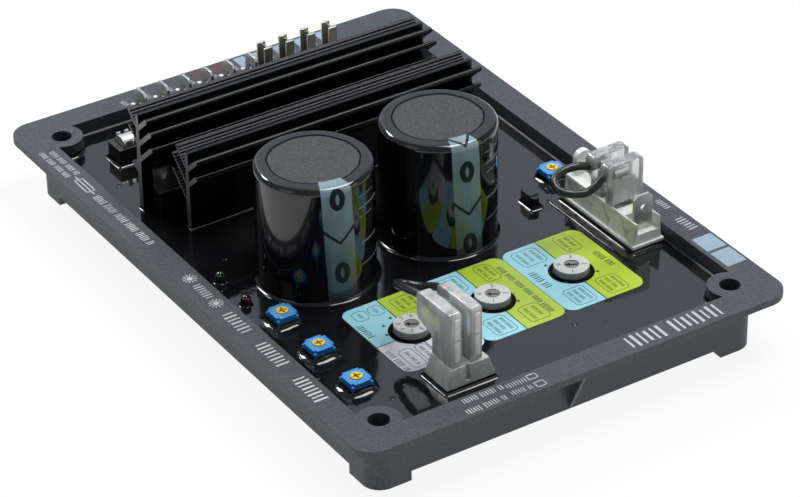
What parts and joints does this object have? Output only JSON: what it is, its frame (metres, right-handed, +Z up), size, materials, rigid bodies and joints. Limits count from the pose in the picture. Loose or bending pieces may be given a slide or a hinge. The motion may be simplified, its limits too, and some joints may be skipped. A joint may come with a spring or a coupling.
{
  "type": "automatic voltage regulator",
  "caption": "Potted electronic voltage regulator in a flanged tray, with finned heat sinks, capacitors, blade terminals, trimmers, selector dials and plug-on links.",
  "frame": {"origin": "centre of the tray's outline, on the plane under its feet", "axes": "+X along the tray away from the terminal row, +Y across it, +Z up out of the tray"},
  "size_m": [0.2, 0.14, 0.0515],
  "materials": {
    "tray": "fine matte, grey",
    "board": "satin, green",
    "resin": "gloss, black",
    "anodised": "black anodised",
    "steel": "zinc plated",
    "can_sleeve": "gloss sleeve, black",
    "can_disc": "matte, dark grey",
    "tinned_metal": "tin plated",
    "blue_plastic": "satin, blue",
    "yellow_plastic": "satin, yellow",
    "green_lens": "clear, dark green",
    "red_lens": "clear, dark red",
    "white_plastic": "matte, white",
    "label": "printed film, satin",
    "milky_plastic": "milky translucent",
    "wire_sleeve": "satin, black",
    "fuse_glass": "satin",
    "black_plastic": "satin, black"
  },
  "bodies": {
    "regulator": {"tray": "tray", "circuit_board": "board", "potting_resin": "resin", "rear_heat_sink": "anodised", "front_heat_sink": "anodised", "power_device_1": "black_plastic", "power_device_2": "black_plastic", "power_device_3": "black_plastic", "device_screws": "steel", "capacitor_1": "can_sleeve", "capacitor_2": "can_sleeve", "capacitor_1_disc": "can_disc", "capacitor_2_disc": "can_disc", "terminal_1": "tinned_metal", "terminal_2": "tinned_metal", "terminal_3": "tinned_metal", "terminal_4": "tinned_metal", "terminal_5": "tinned_metal", "terminal_6": "tinned_metal", "twin_terminal_1": "tinned_metal", "twin_terminal_2": "tinned_metal", "twin_terminal_3": "tinned_metal", "twin_terminal_4": "tinned_metal", "trimmer_1": "blue_plastic", "trimmer_2": "blue_plastic", "trimmer_3": "blue_plastic", "trimmer_4": "blue_plastic", "green_lamp": "green_lens", "red_lamp": "red_lens", "selector_1": "black_plastic", "selector_2": "black_plastic", "selector_3": "black_plastic", "selector_label": "label", "front_link_block": "milky_plastic", "front_link_blades": "tinned_metal", "front_link_boot_1": "milky_plastic", "front_link_boot_2": "milky_plastic", "front_link_receptacles": "tinned_metal", "front_link_lead": "wire_sleeve", "side_link_block": "milky_plastic", "side_link_blades": "tinned_metal", "side_link_boot_1": "milky_plastic", "side_link_boot_2": "milky_plastic", "side_link_receptacles": "tinned_metal", "side_link_lead": "wire_sleeve", "fuse_holder": "black_plastic", "fuse_clips": "tinned_metal", "fuse": "fuse_glass", "signal_transistor": "black_plastic"},
    "trimmer_1_rotor": {"trimmer_1_rotor": "yellow_plastic"},
    "trimmer_2_rotor": {"trimmer_2_rotor": "yellow_plastic"},
    "trimmer_3_rotor": {"trimmer_3_rotor": "yellow_plastic"},
    "trimmer_4_rotor": {"trimmer_4_rotor": "yellow_plastic"},
    "selector_1_dial": {"selector_1_dial": "white_plastic"},
    "selector_2_dial": {"selector_2_dial": "white_plastic"},
    "selector_3_dial": {"selector_3_dial": "white_plastic"}
  },
  "joints": [
    {"name": "trimmer_1_turn", "type": "hinge", "parent": "regulator", "child": "trimmer_1_rotor", "pos_m": [0.0282, -0.051, 0.018], "axis": [0, 0, 1], "range_deg": [-130, 130]},
    {"name": "trimmer_2_turn", "type": "hinge", "parent": "regulator", "child": "trimmer_2_rotor", "pos_m": [0.0472, -0.051, 0.018], "axis": [0, 0, 1], "range_deg": [-130, 130]},
    {"name": "trimmer_3_turn", "type": "hinge", "parent": "regulator", "child": "trimmer_3_rotor", "pos_m": [0.0662, -0.051, 0.018], "axis": [0, 0, 1], "range_deg": [-130, 130]},
    {"name": "trimmer_4_turn", "type": "hinge", "parent": "regulator", "child": "trimmer_4_rotor", "pos_m": [0.0076, 0.0538, 0.018], "axis": [0, 0, 1], "range_deg": [-130, 130]},
    {"name": "selector_1_turn", "type": "hinge", "parent": "regulator", "child": "selector_1_dial", "pos_m": [0.052, -0.0242, 0.0145], "axis": [0, 0, 1], "continuous": true},
    {"name": "selector_2_turn", "type": "hinge", "parent": "regulator", "child": "selector_2_dial", "pos_m": [0.052, 0.0025, 0.0145], "axis": [0, 0, 1], "continuous": true},
    {"name": "selector_3_turn", "type": "hinge", "parent": "regulator", "child": "selector_3_dial", "pos_m": [0.052, 0.0292, 0.0145], "axis": [0, 0, 1], "continuous": true}
  ]
}
